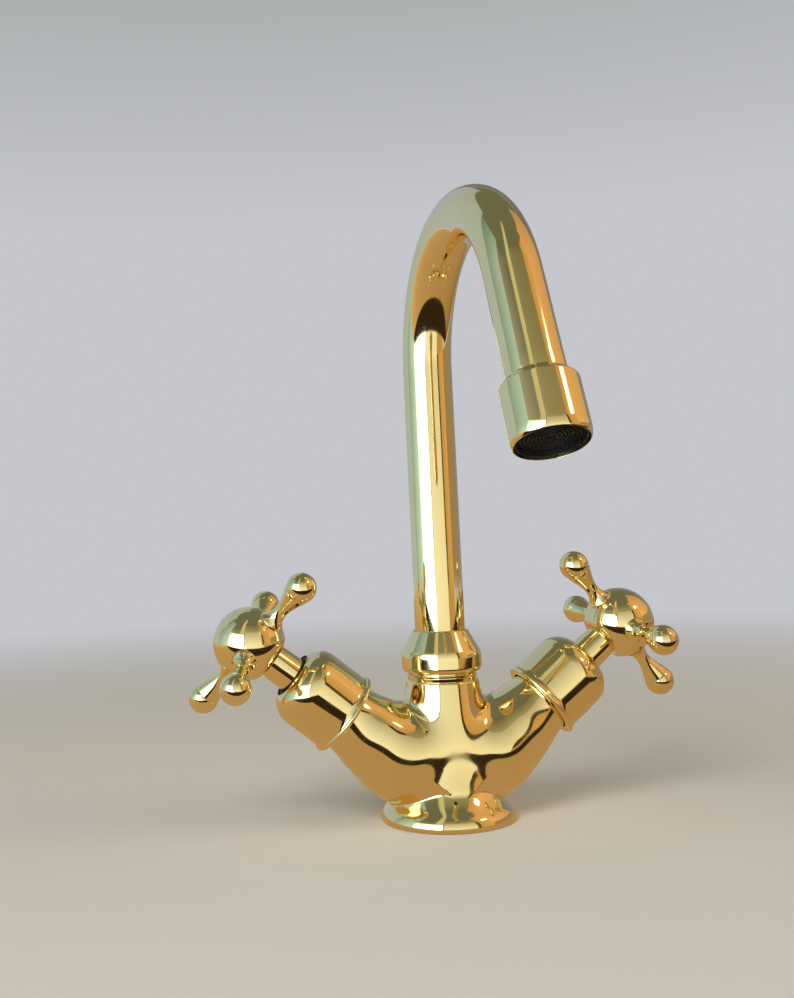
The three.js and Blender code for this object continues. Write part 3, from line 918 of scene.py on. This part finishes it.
def apron(name, azimuths, left, right):
    """The low end of what shines in front: a glow on the floor, from the dark strip outwards."""
    share = np.linspace(0, 1, 25)
    points, faces = [], []
    for turn in sweep(azimuths, share):
        way = np.array([math.cos(turn), math.sin(turn), 0])
        inner = min(DARK_END / min(math.sin(turn), -0.2), 1.5)
        points += [way * inner, way * 1.6]
    for k in range(0, 2 * len(share) - 2, 2):
        faces.append((k, k + 1, k + 3, k + 2))
    glow = np.array(left) * (1 - share[:, None]) + np.array(right) * share[:, None]
    add_glow(name, points, faces, np.repeat(glow, 2, axis=0))


def glow_sheet(name, front, back, left, right):
    """A glow just above the floor, right across it."""
    side = 1.2
    points = [(-side, front, 0), (side, front, 0), (side, back, 0), (-side, back, 0)]
    add_glow(name, points, [(0, 1, 2, 3)], [left, right, right, left])


def add_glow(name, points, faces, colours):
    """A shining surface with a colour at each point, seen only in reflections."""
    mesh = bpy.data.meshes.new(name)
    mesh.from_pydata([tuple(p) for p in points], [], faces)
    glow = mesh.attributes.new("glow", "FLOAT_COLOR", "POINT")
    glow.data.foreach_set("color", np.append(colours, np.ones((len(points), 1)), 1).ravel())
    mesh.materials.append(glow_material(name))
    made = bpy.data.objects.new(name, mesh)
    bpy.context.scene.collection.objects.link(made)
    made.visible_camera = False
    made.visible_diffuse = False
    made.visible_shadow = False
    made.visible_transmission = False


def glow_material(name):
    """Light in the colours of a surface's glow attribute."""
    material = bpy.data.materials.new(name)
    material.use_nodes = True
    tree = material.node_tree
    tree.nodes.clear()
    colour = tree.nodes.new("ShaderNodeAttribute")
    colour.attribute_name = "glow"
    light = tree.nodes.new("ShaderNodeEmission")
    out = tree.nodes.new("ShaderNodeOutputMaterial")
    tree.links.new(colour.outputs["Color"], light.inputs["Color"])
    tree.links.new(light.outputs["Emission"], out.inputs["Surface"])
    return material


def soft_light(name, place, size, energy, colour):
    data = bpy.data.lights.new(name, "AREA")
    data.shape = "DISK"
    data.size = size
    data.energy = energy
    data.color = colour
    light = bpy.data.objects.new(name, data)
    light.location = place
    aim = Vector((0, 0, 0.08)) - Vector(place)
    light.rotation_euler = aim.to_track_quat("-Z", "Y").to_euler()
    light.visible_camera = False
    light.visible_glossy = False
    bpy.context.scene.collection.objects.link(light)


BACKDROP = (0.56, 0.57, 0.60)


def make_world():
    """A pale backdrop that gets dimmer overhead."""
    world = bpy.data.worlds.new("studio")
    world.use_nodes = True
    tree = world.node_tree
    place = tree.nodes.new("ShaderNodeTexCoord")
    parts = tree.nodes.new("ShaderNodeSeparateXYZ")
    tree.links.new(place.outputs["Generated"], parts.inputs["Vector"])
    ramp = tree.nodes.new("ShaderNodeValToRGB")
    ramp.color_ramp.elements[0].position = 0.25
    ramp.color_ramp.elements[0].color = (*BACKDROP, 1)
    ramp.color_ramp.elements[1].position = 0.75
    ramp.color_ramp.elements[1].color = (0.15, 0.165, 0.13, 1)
    tree.links.new(parts.outputs["Z"], ramp.inputs["Fac"])
    tree.links.new(ramp.outputs["Color"], tree.nodes["Background"].inputs["Color"])
    bpy.context.scene.world = world


def make_floor():
    """A pale floor that fades into the backdrop."""
    material = bpy.data.materials.new("floor")
    material.use_nodes = True
    tree = material.node_tree
    shader = tree.nodes["Principled BSDF"]
    shader.inputs["Base Color"].default_value = (0.80, 0.73, 0.64, 1)
    shader.inputs["Roughness"].default_value = 0.9
    shader.inputs["Specular IOR Level"].default_value = 0
    far = tree.nodes.new("ShaderNodeEmission")
    far.inputs["Color"].default_value = (*BACKDROP, 1)
    place = tree.nodes.new("ShaderNodeTexCoord")
    length = tree.nodes.new("ShaderNodeVectorMath")
    length.operation = "LENGTH"
    fade = tree.nodes.new("ShaderNodeMapRange")
    fade.interpolation_type = "SMOOTHSTEP"
    fade.inputs["From Min"].default_value = 0.2
    fade.inputs["From Max"].default_value = 1.0
    mix = tree.nodes.new("ShaderNodeMixShader")
    tree.links.new(place.outputs["Object"], length.inputs[0])
    tree.links.new(length.outputs["Value"], fade.inputs["Value"])
    tree.links.new(fade.outputs["Result"], mix.inputs["Fac"])
    tree.links.new(shader.outputs["BSDF"], mix.inputs[1])
    tree.links.new(far.outputs["Emission"], mix.inputs[2])
    tree.links.new(mix.outputs["Shader"], tree.nodes["Material Output"].inputs["Surface"])
    mesh = bpy.data.meshes.new("floor")
    side = 6
    points = [(-side, -side, 0), (side, -side, 0), (side, side, 0), (-side, side, 0)]
    mesh.from_pydata(points, [], [(0, 1, 2, 3)])
    mesh.materials.append(material)
    floor = bpy.data.objects.new("floor", mesh)
    floor.location.z = -0.0002
    bpy.context.scene.collection.objects.link(floor)


def make_studio():
    make_world()
    make_floor()
    # A warm glow sheet seen only in the gold: a painted reflection of the lit table top, lighter at the left
    # towards the window and darker at the right.
    glow_sheet("table_reflection", TABLE_EDGE, 1.2, (0.66, 0.48, 0.28), (0.22, 0.10, 0.03))
    # A dark glow sheet seen only in the gold: painted shade beyond the table's front edge.
    glow_sheet("front_shade", DARK_END, TABLE_EDGE, FRONT_SHADE, FRONT_SHADE)
    soft_light("key", (-0.75, -0.75, 0.9), 0.7, 9, (0.95, 0.98, 1.0))
    soft_light("fill", (0.9, -0.5, 0.7), 0.9, 4, (1.0, 0.92, 0.82))
    # The panels and aprons below are glows seen only in the gold. They are painted reflections of a lit room. The
    # window and lamp are lamps. The light and shade on the walls, curtain, door and ceiling is painted into their
    # glows.
    panel("left_wall_far", (-172, -104), (-4, 60), (0.43, 0.49, 0.62), (0.44, 0.57, 0.72), 0.85)
    panel("left_wall", (-104, -63), (-4, 55), (0.30, 0.46, 0.56), (0.64, 0.94, 1.15), 0.5)
    panel("window", (-63, -12), (-2, 31), *WINDOW, 0.4)
    panel("window_bar", (-12, -9.5), (-2, 31), (0.16, 0.15, 0.10), (0.16, 0.15, 0.10))
    panel("curtain", (-9.5, 48), (-2, 38), *CURTAIN, 0.5)
    panel("ceiling_edge", (-12, 54), (38, 64), (0.38, 0.38, 0.28), (0.34, 0.30, 0.18), 0.4)
    panel("door_edge", (48, 54), (-2, 38), (0.06, 0.04, 0.02), (0.06, 0.04, 0.02))
    panel("door", (54, 80), (-2, 60), (0.56, 0.34, 0.13), (0.70, 0.42, 0.19))
    panel("lamp", (67, 79), (37, 44), (3.0, 2.9, 2.6), (3.0, 2.9, 2.6), distance=1.5)
    panel("right_wall", (80, 132), (-4, 14), (0.36, 0.24, 0.12), (0.30, 0.25, 0.22))
    panel("right_wall_top", (80, 132), (14, 64), (0.90, 0.52, 0.25), (0.62, 0.40, 0.22), 0.75)
    panel("right_wall_far", (132, 186), (-4, 45), (0.30, 0.29, 0.32), (0.34, 0.36, 0.40), 0.5)
    panel("ceiling_strip", (-27, -12), (33, 80), (0.54, 0.52, 0.37), (0.64, 0.60, 0.40))
    apron("window_foot", (-63, -12), *WINDOW)
    apron("curtain_foot", (-12, 48), *CURTAIN)
    apron("door_foot", (48, 80), (0.50, 0.30, 0.12), (0.56, 0.34, 0.15))


make_camera()
finish_cad_nodes()
add_body_casting()
add_union_nut()
add_spout_tube()
add_aerator()
for side_name in SIDES:
    add_bonnet_cover(side_name)
    add_handle(side_name)
make_studio()
bpy.context.scene.view_settings.view_transform = "Standard"
